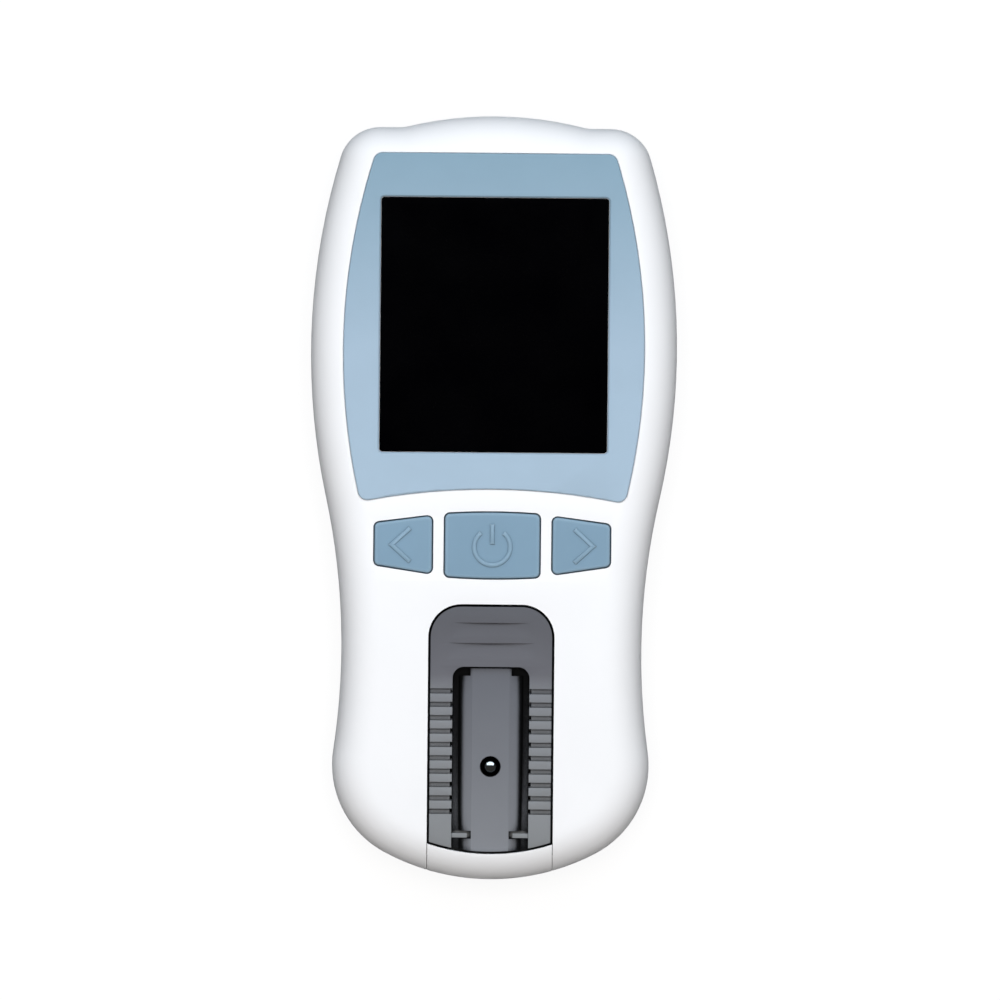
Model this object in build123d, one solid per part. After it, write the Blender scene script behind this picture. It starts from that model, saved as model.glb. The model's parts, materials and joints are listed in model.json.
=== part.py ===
from build123d import *
import math
import os

# A hand-held strip meter lying on its back. X runs across it, Y along it with the display end
# at +Y, and Z up from the surface that its feet stand on. All sizes are in millimetres.

# Case seen from above
case_half_length = 63.6
display_half_width = 30.5
display_widest_y = 24.5
side_radius = 113.0
waist_radius = 115.7
lower_half_width = 26.4
lower_radius = 16.6
end_radius = 37.4
crown_drop = 1.95
crown_blend_radius = 5.6
shoulder_flat = 3.2
shoulder_radius = 6.9

# Case seen from the side
foot_drop = 0.6
case_top_z = 24.5
parting_z = 12.0
wall = 2.0
top_round = 6.5
base_round = 5.0
deck_bend_y = -14.0
deck_bend_radius = 200.0
deck_slope = 4.0
seam_depth = 0.3
seam_half_height = 0.15

# Display, its bezel panel and window
panel_margin = 5.45
panel_end_inset = 6.3
panel_corner_y = -0.8
panel_arch = 2.25
panel_corner_radius = 1.6
panel_recess = 0.8
panel_proud = 0.4
panel_edge_round = 0.3
screen_bevel = 0.25
screen_side_inset = 11.5
screen_top_margin = 7.3
screen_bottom_margin = 8.3
screen_corner_radius = 0.6
window_gap = 0.1
window_thickness = 1.0
window_ledge = 1.8
gasket_thickness = 0.6
glass_thickness = 2.4
glass_margin = 0.5
backlight_margin = 0.15

# Keys
power_half_width = 7.9
power_top_y = -2.4
power_bottom_y = -13.4
power_crown = 0.3
side_key_inner_x = 10.0
side_key_outer_x = 19.6
side_key_inner_y = (-3.0, -12.7)
side_key_outer_y = (-4.3, -11.2)
key_corner_radius = 0.85
key_gap = 0.2
key_proud = 0.25
key_flange = 0.8
key_flange_thickness = 0.8
key_rest_gap = 0.2
key_travel = 0.6
key_edge_round = 0.45
key_bottom_gap = 0.1
plunger_diameter = 4.0
dome_diameter = 5.0
dome_height = 0.8
symbol_height = 0.25
symbol_line = 0.8
symbol_bevel = 0.2
power_ring_radius = 3.0
power_ring_gap = 38.0
power_bar_length = 3.4
power_symbol_drop = 0.25
chevron_reach = 3.1
chevron_half_height = 2.8
chevron_offset = 0.4

# Strip tray, the drawer that the test strip lies in
slot_half_width = 10.5
slot_top_y = -17.7
slot_corner_radius = 5.5
slot_end_inset = 4.3
tray_gap = 0.4
tray_bottom_z = 17.5
tray_floor = 0.8
channel_half_width = 6.4
channel_top_y = -28.1
channel_corner_radius = 1.9
channel_gap = 0.35
rib_count = 10
rib_first_y = -31.7
rib_pitch = 2.227
groove_width = 0.9
groove_depth = 0.6
groove_wall_run = 0.25
groove_setback = 0.35
groove_reach = 4.5
grip_lines_y = (-20.7, -24.1)
grip_half_widths = (7.0, 7.4)
grip_depth = 0.65
grip_run = 2.9
grip_wall_run = 0.3
guide_inset = 7.4
guide_width = 0.75
guide_inner_x = 3.8
guide_slot_inner_x = 3.15
guide_slot_width = 1.3
guide_thickness = 0.7
guide_lift = 0.25

# Strip bed, the ridge in the tray's channel
bed_drop = 1.2
bed_flat_half_width = 3.1
bed_shoulder_half_width = 4.0
bed_half_width = 5.35
bed_shoulder_drop = 0.45
bed_flank_drop = 2.6
bed_floor = 0.9
bed_gap = 0.1
bed_slot_depth = 3.0
bed_corner_half_width = 3.4
bed_corner_y = -29.6
aperture_inset = 18.9
aperture_diameter = 3.5

# Drawer front
seam_gap = 0.1
front_seam_drop = 0.15
front_wall = 2.2
front_gap = 0.05

# Tray guide under the drawer
slide_gap = 0.2
guide_floor = 1.5
guide_wall = 1.6
guide_rear_wall = 1.3
guide_rear_gap = 0.5
guide_end_gap = 0.4
ear_x = 14.8
ear_diameter = 6.0
ear_row_insets = (6.3, 10.1)

# Reader under the aperture
reader_board_half_width = 9.5
reader_board_inset = 7.6
reader_board_end_y = -23.0
reader_board_thickness = 1.2
barrel_flange_diameter = 9.0
barrel_flange_height = 1.5
snout_diameter = 4.4
snout_height = 2.6
barrel_bore_diameter = 2.6
barrel_gap = 0.2
barrel_wall = 1.2
barrel_roof = 0.5
sensor_size = 2.0
lamp_size = 1.0
lamp_x = 2.2
lamp_height = 0.6
lens_diameter = 3.2
lens_rim = 0.5
lens_dome = 0.55
relief_half_width = 2.7
relief_ceiling_z = 21.0
ribbon_width = 10.0
ribbon_thickness = 0.2
ribbon_overlap = 4.0
ribbon_rise = 2.0
ribbon_bend = 0.8

# Boards
board_z = 16.0
board_thickness = 1.6
board_edge_gap = 1.4
board_start_y = -15.6
board_end_inset = 6.1
board_post_gap = 0.5
package_bevel = 0.15

# Packages under the main board: place across and along, width, length, height
processor = (0, 20, 10, 10, 1.2)
memory = (9, 6, 5, 4, 1.2)
crystal = (-9, 10, 6, 3, 1.3)

# Sockets in the display end
chip_x = -7.5
chip_width = 13.0
chip_height = 2.6
chip_bottom_z = 12.5
chip_length = 17.6
chip_gap = 0.2
chip_wall = 0.7
chip_nail_inset = 1.2
chip_nail_width = 6.0
chip_nail_depth = 0.5
usb_x = 8.0
usb_width = 7.7
usb_height = 3.9
usb_length = 7.8
usb_sheet = 0.35
usb_recess = 0.5
usb_gap = 0.25
usb_tongue = 1.0
usb_tongue_recess = 1.2
buzzer_x = 8.0
buzzer_inset = 16.1
buzzer_diameter = 11.0
buzzer_height = 5.5
buzzer_port_diameter = 2.0
buzzer_port_depth = 1.5

# Batteries, three slim dry cells side by side
cell_diameter = 10.5
cell_length = 44.5
cell_button_diameter = 3.8
cell_button = 1.0
cell_edge_round = 0.5
cell_pitch = 11.0
cell_count = 3
cell_lift = 0.3
cell_gap = 0.25
bay_inset = 73.6
bay_wall = 1.2
bay_roof = 1.0
bay_roof_gap = 0.3
bay_rim = 1.2
contact_thickness = 0.4
contact_size = 8.4
spring_room = 3.0
spring_radius = 2.7
spring_wire = 0.5
spring_turns = 3

# Battery cover
cover_thickness = 1.6
cover_gap = 0.2
cover_overlap = 1.4
cover_tab_room = 3.6
cover_tab_width = 6.0
cover_tab_x = 9.0
cover_tab_reach = 1.6
cover_tab_thickness = 1.0
cover_tab_gap = 0.2
cover_tab_root = 1.4
cover_corner_radius = 2.5
latch_width = 9.0
latch_length = 8.0
latch_slot = 0.7
cover_rib_count = 5
cover_rib_pitch = 1.6
cover_rib_height = 0.25
cover_rib_step = 0.6

# Screws, feet and label
case_screw_side_insets = (8.3, 7.9)
case_screw_rows_y = (43.0, -40.0)
case_boss_diameter = 6.2
case_screw_diameter = 2.6
case_screw_head = 5.0
case_screw_recess_z = 4.0
case_screw_length = 14.0
board_screw_side_insets = (8.2, 13.0)
board_screw_row_y = 3.5
board_screw_end_inset = 9.6
board_boss_diameter = 5.0
board_screw_diameter = 2.0
board_screw_head = 3.8
board_screw_length = 6.0
head_thickness = 1.5
thread_gap = 0.05
screw_gap = 0.3
drive_width = 0.7
drive_depth = 0.8
drive_margin = 0.9
tip_gap = 0.5
foot_diameter = 7.0
foot_recess = 0.6
foot_edge_round = 0.3
foot_side_insets = (14.0, 11.4)
foot_end_insets = (11.6, 15.1)
label_half_width = 13.0
label_inset = 27.6
label_to_cover = 6.0
label_thickness = 0.25
lip_rise = 1.5
lip_thickness = 1.0
lip_gap = 0.1
sound_hole_diameter = 1.2
sound_hole_pitch = 2.4

# Derived heights and places
panel_top_y = case_half_length - panel_end_inset
screen_width = 2 * (display_half_width - screen_side_inset)
screen_length = panel_top_y - screen_top_margin - panel_corner_y - screen_bottom_margin
screen_y = panel_corner_y + screen_bottom_margin + screen_length / 2
board_end_y = case_half_length - board_end_inset
chip_inner_y = case_half_length - chip_length
buzzer_y = case_half_length - buzzer_inset
guide_y = guide_inset - case_half_length
aperture_y = aperture_inset - case_half_length
ear_rows_y = (slot_top_y - ear_row_insets[0], ear_row_insets[1] - case_half_length)
reader_board_start_y = reader_board_inset - case_half_length
case_screw_places = (
    (display_half_width - case_screw_side_insets[0], case_screw_rows_y[0]),
    (lower_half_width - case_screw_side_insets[1], case_screw_rows_y[1]),
)
board_screw_places = (
    (display_half_width - board_screw_side_insets[0], board_screw_row_y),
    (display_half_width - board_screw_side_insets[1], case_half_length - board_screw_end_inset),
)
foot_places = (
    (display_half_width - foot_side_insets[0], case_half_length - foot_end_insets[0]),
    (lower_half_width - foot_side_insets[1], foot_end_insets[1] - case_half_length),
)
base_z = foot_drop
far = 80.0
inner_top_z = case_top_z - wall
panel_seat_z = case_top_z - panel_recess
panel_top_z = case_top_z + panel_proud
board_top_z = board_z + board_thickness
cover_top_z = base_z + cover_thickness
cell_z = cover_top_z + cell_lift + cell_diameter / 2
bay_roof_z = cell_z + cell_diameter / 2 + bay_roof_gap
bay_half_width = (cell_count - 1) / 2 * cell_pitch + cell_diameter / 2 + cell_gap
bay_start_y = case_half_length - bay_inset
bay_end_y = bay_start_y + cell_length + spring_room + 2 * contact_thickness
cover_half_width = bay_half_width + cover_overlap
cover_start_y = bay_start_y - cover_overlap - bay_wall / 2
cover_end_y = bay_end_y + bay_wall + cover_tab_room
label_y = (label_inset - case_half_length, cover_start_y - label_to_cover)
bed_floor_z = tray_bottom_z + tray_floor
guide_floor_z = tray_bottom_z - slide_gap - guide_floor
tray_half_width = slot_half_width - tray_gap
guide_half_width = tray_half_width + slide_gap
tray_top_y = slot_top_y - tray_gap
tray_end_inset = slot_end_inset + tray_gap
reader_z = guide_floor_z - reader_board_thickness
chip_half_width = chip_width / 2
chip_cavity_low_z = chip_bottom_z - chip_gap
chip_cavity_high_z = chip_bottom_z + chip_height + chip_gap
key_flange_top_z = inner_top_z - key_rest_gap
key_top_z = case_top_z + key_proud
dome_top_z = board_top_z + dome_height
plunger_z = dome_top_z + key_travel + key_bottom_gap
glass_bottom_z = inner_top_z - gasket_thickness - glass_thickness


def at(centre, radius, angle):
    """The point of a circle at an angle in degrees."""
    turn = math.radians(angle)
    return (centre[0] + radius * math.cos(turn), centre[1] + radius * math.sin(turn))


def heading(start, end):
    """The direction from one point to another, in degrees."""
    return math.degrees(math.atan2(end[1] - start[1], end[0] - start[0]))


def arc(centre, radius, start, end):
    """A circular arc between two angles."""
    return ThreePointArc(
        at(centre, radius, start), at(centre, radius, (start + end) / 2), at(centre, radius, end)
    )


def outer_meeting(first, first_reach, second, second_reach):
    """The point at two given distances from two others, on the outer side of their line."""
    gap = math.dist(first, second)
    along = (first_reach**2 - second_reach**2 + gap**2) / (2 * gap)
    aside = math.sqrt(first_reach**2 - along**2)
    turn = math.radians(heading(first, second))
    x = first[0] + along * math.cos(turn) - aside * math.sin(turn)
    y = first[1] + along * math.sin(turn) + aside * math.cos(turn)
    return (x, y)


# Centres of the outline's arcs, each tangent to the next
side_centre = (display_half_width - side_radius, display_widest_y)
shoulder_y = case_half_length - crown_drop
corner_y = shoulder_y - shoulder_radius
corner_centre = (
    side_centre[0] + math.sqrt((side_radius - shoulder_radius) ** 2 - (corner_y - display_widest_y) ** 2),
    corner_y,
)
blend_centre = (corner_centre[0] - shoulder_flat, shoulder_y + crown_blend_radius)
crown_radius = (blend_centre[0] ** 2 + crown_drop**2) / (2 * crown_drop) - crown_blend_radius
crown_centre = (0.0, case_half_length - crown_radius)
end_centre = (0.0, end_radius - case_half_length)
lower_x = lower_half_width - lower_radius
lower_centre = (lower_x, end_centre[1] - math.sqrt((end_radius - lower_radius) ** 2 - lower_x**2))
waist_centre = outer_meeting(
    side_centre, side_radius + waist_radius, lower_centre, lower_radius + waist_radius
)


def case_outline(inset=0.0):
    """The case from above, or the same outline moved inwards: each arc keeps its centre."""
    crown_turn = heading(crown_centre, blend_centre)
    corner_turn = heading(side_centre, corner_centre)
    flank_turn = heading(side_centre, waist_centre)
    waist_turn = heading(lower_centre, waist_centre)
    end_turn = heading(end_centre, lower_centre)
    shoulder = shoulder_y - inset
    half = [
        arc(crown_centre, crown_radius - inset, 90, crown_turn),
        arc(blend_centre, crown_blend_radius + inset, crown_turn + 180, 270),
        Line((blend_centre[0], shoulder), (corner_centre[0], shoulder)),
        arc(corner_centre, shoulder_radius - inset, 90, corner_turn),
        arc(side_centre, side_radius - inset, corner_turn, flank_turn),
        arc(waist_centre, waist_radius + inset, 180 + flank_turn, 180 + waist_turn),
        arc(lower_centre, lower_radius - inset, waist_turn, end_turn),
        arc(end_centre, end_radius - inset, end_turn, -90),
    ]
    return make_face(half + [edge.mirror(Plane.YZ) for edge in half])


def column(face, low, high):
    """A flat face in plan, raised between two heights."""
    return Pos(0, 0, low) * extrude(face, high - low, dir=(0, 0, 1))


def block(x, y, z):
    """A box between a low and a high value along each axis."""
    middle = [(low + high) / 2 for low, high in (x, y, z)]
    return Pos(*middle) * Box(x[1] - x[0], y[1] - y[0], z[1] - z[0])


def post(x, y, low, high, diameter):
    """An upright cylinder between two heights."""
    return Pos(x, y, (low + high) / 2) * Cylinder(diameter / 2, high - low)


def both_sides(places):
    """Each place and its mirror image across the middle plane."""
    return [(side * x, y) for x, y in places for side in (-1, 1)]


def side_profile(inset):
    """The case from the side: a flat top that bends into the sloping deck at the strip end."""
    centre = (deck_bend_y, case_top_z - deck_bend_radius)
    radius = deck_bend_radius - inset
    bend_end = at(centre, radius, 90 + deck_slope)
    slope_end = at(bend_end, far, 180 + deck_slope)
    top = case_top_z - inset
    edges = [
        Line((far, 0), (far, top)),
        Line((far, top), (deck_bend_y, top)),
        arc(centre, radius, 90, 90 + deck_slope),
        Line(bend_end, slope_end),
        Line(slope_end, (slope_end[0], 0)),
        Line((slope_end[0], 0), (far, 0)),
    ]
    return extrude(Plane.YZ * make_face(edges), far, both=True)


def envelope(inset=0.0):
    """The outer form of the case, or the same form moved inwards by a wall."""
    body = column(case_outline(inset), base_z + inset, far) & side_profile(inset)
    upper = [e for e in body.edges() if e.center().Z > parting_z + wall and abs(e.center().X) > 1]
    upper = [e for e in upper if abs(e.center().Z - far) > 1 and not is_upright(e)]
    body = fillet(upper, top_round - inset)
    lower = [e for e in body.edges() if abs(e.center().Z - base_z - inset) < 0.01]
    return fillet(lower, base_round - inset)


def is_upright(edge):
    """Whether an edge runs straight up."""
    return abs(edge.tangent_at(0.5).Z) > 0.9


# The sloping deck as a plane of its own, for what lies parallel to it
deck_centre = (deck_bend_y, case_top_z - deck_bend_radius)
deck_start = at(deck_centre, deck_bend_radius, 90 + deck_slope)
deck_turn = math.radians(deck_slope)
deck = Plane(
    origin=(0, deck_start[0], deck_start[1]),
    x_dir=(1, 0, 0),
    z_dir=(0, -math.sin(deck_turn), math.cos(deck_turn)),
)


def on_deck(shape):
    """Moves a shape drawn about the deck's own origin on to the deck."""
    return deck.location * shape


def deck_run(y):
    """The distance along the deck at a lengthwise place."""
    return (y - deck_start[0]) / math.cos(deck_turn)


outer_form = envelope()
inner_form = envelope(wall)
boss_limit = envelope(wall / 2)
guide_limit = envelope(wall + slide_gap)


def slot_plan(shrink=0.0):
    """The drawer's slot from above: a rounded inner end, and open past the strip end."""
    half = slot_half_width - shrink
    top = slot_top_y - shrink
    face = Pos(0, (top - far) / 2) * Rectangle(2 * half, top + far)
    upper = face.vertices().sort_by(Axis.Y)[-2:]
    return fillet(upper, slot_corner_radius - shrink)


def panel_outline(shrink=0.0):
    """The bezel panel from above: sides parallel to the case, a straight top, an arched bottom."""
    radius = side_radius - panel_margin - shrink
    top = panel_top_y - shrink
    low = panel_corner_y + shrink
    top_turn = math.degrees(math.asin((top - display_widest_y) / radius))
    low_turn = math.degrees(math.asin((low - display_widest_y) / radius))
    top_x = at(side_centre, radius, top_turn)[0]
    low_x = at(side_centre, radius, low_turn)[0]
    right = arc(side_centre, radius, top_turn, low_turn)
    edges = [
        Line((-top_x, top), (top_x, top)),
        right,
        ThreePointArc((low_x, low), (0, low + panel_arch), (-low_x, low)),
        right.mirror(Plane.YZ),
    ]
    face = make_face(edges)
    return fillet(face.vertices(), panel_corner_radius - shrink)


def screen_outline(shrink=0.0):
    """The display opening from above."""
    face = RectangleRounded(
        screen_width - 2 * shrink, screen_length - 2 * shrink, max(screen_corner_radius - shrink, 0.1)
    )
    return Pos(0, screen_y) * face


def power_key_outline(grow=0.0):
    """The middle key: a rectangle with slightly crowned long edges."""
    x = power_half_width + grow
    top = power_top_y + grow
    bottom = power_bottom_y - grow
    edges = [
        ThreePointArc((-x, top - power_crown), (0, top), (x, top - power_crown)),
        Line((x, top - power_crown), (x, bottom + power_crown)),
        ThreePointArc((x, bottom + power_crown), (0, bottom), (-x, bottom + power_crown)),
        Line((-x, bottom + power_crown), (-x, top - power_crown)),
    ]
    face = make_face(edges)
    return fillet(face.vertices(), key_corner_radius + grow)


def side_key_outline(side, grow=0.0):
    """A side key: it narrows towards the case's edge."""
    inner = side_key_inner_x - grow
    outer = side_key_outer_x + grow
    points = [
        (side * inner, side_key_inner_y[0] + grow),
        (side * outer, side_key_outer_y[0] + grow),
        (side * outer, side_key_outer_y[1] - grow),
        (side * inner, side_key_inner_y[1] - grow),
    ]
    face = make_face(Polyline(*points, close=True))
    return fillet(face.vertices(), key_corner_radius + grow)


key_outlines = {
    "key_left": lambda grow=0.0: side_key_outline(-1, grow),
    "key_power": lambda grow=0.0: power_key_outline(grow),
    "key_right": lambda grow=0.0: side_key_outline(1, grow),
}
side_key_middle = ((side_key_inner_x + side_key_outer_x) / 2, (power_top_y + power_bottom_y) / 2)
key_middles = {
    "key_left": (-side_key_middle[0], side_key_middle[1]),
    "key_power": (0.0, side_key_middle[1]),
    "key_right": side_key_middle,
}


def power_symbol():
    """A ring open at its top, with a bar in the opening."""
    ring = CenterArc((0, 0), power_ring_radius, 90 + power_ring_gap, 360 - 2 * power_ring_gap)
    face = trace(ring, symbol_line)
    bar = Pos(0, power_ring_radius + symbol_line - power_bar_length / 2)
    return Pos(0, -power_symbol_drop) * (face + bar * Rectangle(symbol_line, power_bar_length))


def chevron_symbol(side):
    """An arrowhead that points away from the middle key."""
    tip = (side * (chevron_offset + chevron_reach / 2), 0)
    end_x = side * (chevron_offset - chevron_reach / 2)
    ends = [(end_x, sign * chevron_half_height) for sign in (1, -1)]
    return trace(Line(ends[0], tip) + Line(tip, ends[1]), symbol_line)


def key(name, symbol):
    """A key cap with its retaining flange, plunger and raised symbol."""
    outline = key_outlines[name]
    cap = column(outline(), key_flange_top_z - key_flange_thickness, key_top_z)
    rim = [e for e in cap.edges() if abs(e.center().Z - key_top_z) < 0.01]
    cap = fillet(rim, key_edge_round)
    cap += column(outline(key_flange), key_flange_top_z - key_flange_thickness, key_flange_top_z)
    x, y = key_middles[name]
    cap += post(x, y, plunger_z, key_flange_top_z, plunger_diameter)
    ridge = column(Pos(x, y) * symbol, key_flange_top_z, key_top_z + symbol_height)
    crest = [e for e in ridge.edges() if abs(e.center().Z - key_top_z - symbol_height) < 0.01]
    return cap + chamfer(crest, symbol_bevel)


def ring_between(outer_inset, inner_inset, low, high):
    """The band between two inset copies of the case's outline."""
    return column(case_outline(outer_inset), low, high) - column(case_outline(inner_inset), low, high)


def chip_port(grow):
    """The room of the code chip, open at the display end."""
    half = chip_half_width + grow
    return block(
        (chip_x - half, chip_x + half),
        (chip_inner_y - grow, far),
        (chip_bottom_z - grow, chip_bottom_z + chip_height + grow),
    )


def top_shell():
    """The upper half of the case, with its bosses and every opening."""
    above = block((-far, far), (-far, far), (parting_z, far))
    shell = (outer_form - inner_form) & above
    for x, y in both_sides(case_screw_places):
        shell += post(x, y, parting_z, case_top_z, case_boss_diameter) & boss_limit
        pilot = case_screw_diameter + 2 * thread_gap
        shell -= post(x, y, 0, case_screw_recess_z + case_screw_length + tip_gap, pilot)
    for x, y in both_sides(board_screw_places):
        shell += post(x, y, board_top_z, case_top_z, board_boss_diameter) & boss_limit
        pilot = board_screw_diameter + 2 * thread_gap
        shell -= post(x, y, 0, board_z + board_screw_length + tip_gap, pilot)
    shell -= column(panel_outline(-window_gap), panel_seat_z, far)
    shell -= column(screen_outline(window_ledge), parting_z, far)
    for outline in key_outlines.values():
        shell -= column(outline(key_gap), parting_z, far)
    shell -= column(slot_plan(), parting_z - 1, far)
    half = chip_half_width + chip_gap
    shell -= block((chip_x - half, chip_x + half), (panel_top_y, far), (parting_z - 1, chip_cavity_high_z))
    half = usb_width / 2 + usb_gap
    shell -= block((usb_x - half, usb_x + half), (panel_top_y, far), (parting_z - 1, board_z + usb_gap))
    return shell - seam_groove()


def bottom_shell():
    """The lower half of the case, with the battery bay, posts and recesses."""
    below = block((-far, far), (-far, far), (0, parting_z))
    shell = (outer_form - inner_form) & below
    lip = ring_between(wall, wall + lip_thickness, parting_z - lip_rise, parting_z)
    lip += ring_between(wall + lip_gap, wall + lip_thickness, parting_z, parting_z + lip_rise)
    wide = slot_half_width + lip_gap
    lip -= block((-wide, wide), (-far, guide_y), (parting_z, far))
    half = chip_half_width + chip_wall + 2 * chip_gap
    lip -= block((chip_x - half, chip_x + half), (panel_top_y, far), (0, far))
    half = usb_width / 2 + 2 * usb_gap
    lip -= block((usb_x - half, usb_x + half), (panel_top_y, far), (parting_z, far))
    for x, y in both_sides(case_screw_places):
        lip -= post(x, y, parting_z, far, case_boss_diameter + 2 * screw_gap)
    shell += lip

    wide = bay_half_width + bay_wall
    bay_end = bay_end_y + bay_wall
    shell += block((-wide, wide), (bay_start_y - bay_wall, bay_end), (cover_top_z, bay_roof_z + bay_roof))
    wide = cover_half_width + bay_wall
    shell += block((-wide, wide), (cover_start_y - bay_wall, bay_end), (cover_top_z, cover_top_z + bay_rim))
    shell -= block((-bay_half_width, bay_half_width), (bay_start_y, bay_end_y), (0, bay_roof_z))
    opening = Pos(0, (cover_start_y + cover_end_y) / 2) * RectangleRounded(
        2 * cover_half_width, cover_end_y - cover_start_y, cover_corner_radius
    )
    shell -= column(opening, 0, cover_top_z)
    shell -= block((-bay_half_width, bay_half_width), (bay_end, cover_end_y), (0, base_z + wall))

    for x, y in both_sides(case_screw_places):
        shell += post(x, y, base_z, parting_z, case_boss_diameter) & boss_limit
        shell -= post(x, y, 0, case_screw_recess_z, case_screw_head + 2 * screw_gap)
        shell -= post(x, y, 0, far, case_screw_diameter + 2 * screw_gap)
    for x, y in both_sides([(ear_x, y) for y in ear_rows_y]):
        shell += post(x, y, base_z, guide_floor_z, board_boss_diameter) & boss_limit
        tip_z = guide_floor_z + guide_floor - board_screw_length - tip_gap
        shell -= post(x, y, tip_z, far, board_screw_diameter + 2 * thread_gap)
    for x, y in both_sides(foot_places):
        shell -= post(x, y, 0, base_z + foot_recess, foot_diameter + 2 * window_gap)
    shell -= block((-label_half_width, label_half_width), label_y, (0, base_z + label_thickness))
    for step_x in range(-1, 2):
        for step_y in range(-1, 2):
            x = buzzer_x + step_x * sound_hole_pitch
            y = buzzer_y + step_y * sound_hole_pitch
            shell -= post(x, y, 0, base_z + wall, sound_hole_diameter)
    return shell - seam_groove()


def seam_groove():
    """The fine groove round the case where its two halves meet."""
    return ring_between(-1, seam_depth, parting_z - seam_half_height, parting_z + seam_half_height)


def display_panel():
    """The blue bezel round the display, with softened edges."""
    panel = column(panel_outline(), panel_seat_z, panel_top_z)
    rim = [e for e in panel.edges() if abs(e.center().Z - panel_top_z) < 0.01]
    panel = fillet(rim, panel_edge_round)
    panel -= column(screen_outline(), 0, far)
    top = [e for e in panel.edges() if abs(e.center().Z - panel_top_z) < 0.01]
    inner = [e for e in top if abs(e.center().Y - screen_y) < screen_length / 2 + 0.1]
    inner = [e for e in inner if abs(e.center().X) < screen_width / 2 + 0.1]
    return chamfer(inner, screen_bevel)


def display_window():
    """The dark window that lies in the bezel's opening."""
    return column(screen_outline(window_gap), panel_seat_z, panel_seat_z + window_thickness)


def display_gasket():
    """A foam frame between the shell and the display glass."""
    outer = screen_outline(glass_margin)
    inner = screen_outline(window_ledge)
    low = inner_top_z - gasket_thickness
    return column(outer, low, inner_top_z) - column(inner, low, inner_top_z)


def display_glass():
    """The display module's glass."""
    return column(screen_outline(glass_margin), glass_bottom_z, inner_top_z - gasket_thickness)


def display_backlight():
    """The tray with the display's backlight, seated on the main board."""
    return column(screen_outline(glass_margin - backlight_margin), board_top_z, glass_bottom_z)


def key_domes():
    """Three snap domes on the main board, one under each key."""
    domes = Part()
    for x, y in key_middles.values():
        radius = (dome_diameter**2 / 4 + dome_height**2) / (2 * dome_height)
        ball = Pos(x, y, dome_top_z - radius) * Sphere(radius)
        domes += ball & block((-far, far), (-far, far), (board_top_z, far))
    return domes


def main_board():
    """The board under the display and the keys, cut round the case's bosses."""
    band = Pos(0, (board_start_y + board_end_y) / 2) * Rectangle(2 * far, board_end_y - board_start_y)
    board = column(case_outline(wall + board_edge_gap) & band, board_z, board_top_z)
    for x, y in both_sides(case_screw_places):
        board -= post(x, y, 0, far, case_boss_diameter + 2 * board_post_gap)
    for x, y in both_sides(board_screw_places):
        board -= post(x, y, 0, far, board_screw_diameter + 2 * screw_gap)
    return board


def under_board(x, y, width, length, height):
    """A chip package on the underside of the main board."""
    low = board_z - height
    body = block((x - width / 2, x + width / 2), (y - length / 2, y + length / 2), (low, board_z))
    rim = [e for e in body.edges() if abs(e.center().Z - low) < 0.01]
    return chamfer(rim, package_bevel)


def buzzer():
    """A round sounder under the main board, above the sound holes."""
    low = board_z - buzzer_height
    body = post(buzzer_x, buzzer_y, low, board_z, buzzer_diameter)
    return body - post(buzzer_x, buzzer_y, 0, low + buzzer_port_depth, buzzer_port_diameter)


def usb_socket():
    """A small data socket under the board: a folded metal shell with a tongue."""
    half = usb_width / 2
    end = crown_centre[1] + math.sqrt(crown_radius**2 - (usb_x + half + usb_gap) ** 2) - usb_recess
    low = board_z - usb_height
    shell = block((usb_x - half, usb_x + half), (end - usb_length, end), (low, board_z))
    shell -= block(
        (usb_x - half + usb_sheet, usb_x + half - usb_sheet),
        (end - usb_length + usb_sheet, far),
        (low + usb_sheet, board_z - usb_sheet),
    )
    middle = board_z - usb_height / 2
    tongue = block(
        (usb_x - half / 2, usb_x + half / 2),
        (end - usb_length, end - usb_tongue_recess),
        (middle - usb_tongue / 2, middle + usb_tongue / 2),
    )
    return shell + tongue


def chip_socket():
    """The holder that the code chip plugs into."""
    half = chip_half_width + chip_gap + chip_wall
    body = block(
        (chip_x - half, chip_x + half),
        (chip_inner_y - chip_gap - chip_wall, board_end_y),
        (chip_cavity_low_z - chip_wall, board_z),
    )
    return body - chip_port(chip_gap)


def code_chip():
    """The plug-in chip; its head is flush with the case and has a fingernail groove."""
    body = chip_port(0) & outer_form
    y = case_half_length - chip_nail_inset
    half = chip_nail_width / 2
    top = chip_bottom_z + chip_height
    nail = (chip_x - half, chip_x + half), (y - chip_nail_depth, y), (top - chip_nail_depth, top)
    return body - block(*nail)


def cell_direction(index):
    """The way a cell's button points: neighbours lie head to tail."""
    return 1 if index % 2 == 0 else -1


def cell_places():
    """The lengthwise axis and direction of each cell."""
    first = -(cell_count - 1) / 2 * cell_pitch
    return [(first + index * cell_pitch, cell_direction(index)) for index in range(cell_count)]


def rod(x, start, end, diameter):
    """A cylinder that lies along Y at the height of the cells."""
    low, high = sorted((start, end))
    return Pos(x, (low + high) / 2, cell_z) * Rot(90, 0, 0) * Cylinder(diameter / 2, high - low)


def battery_cell(index):
    """One slim dry cell with its raised button."""
    x, way = cell_places()[index]
    plus = bay_end_y - contact_thickness if way > 0 else bay_start_y + contact_thickness
    shoulder = plus - way * cell_button
    minus = plus - way * cell_length
    body = rod(x, minus, shoulder, cell_diameter)
    body = fillet(body.edges(), cell_edge_round)
    return body + rod(x, shoulder, plus, cell_button_diameter)


def battery_contacts():
    """Sprung metal plates at both ends of the battery bay."""
    plates = Part()
    for x, _ in cell_places():
        for low, high in (
            (bay_start_y, bay_start_y + contact_thickness),
            (bay_end_y - contact_thickness, bay_end_y),
        ):
            plates += block(
                (x - contact_size / 2, x + contact_size / 2),
                (low, high),
                (cell_z - contact_size / 2, cell_z + contact_size / 2),
            )
    return plates


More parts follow.
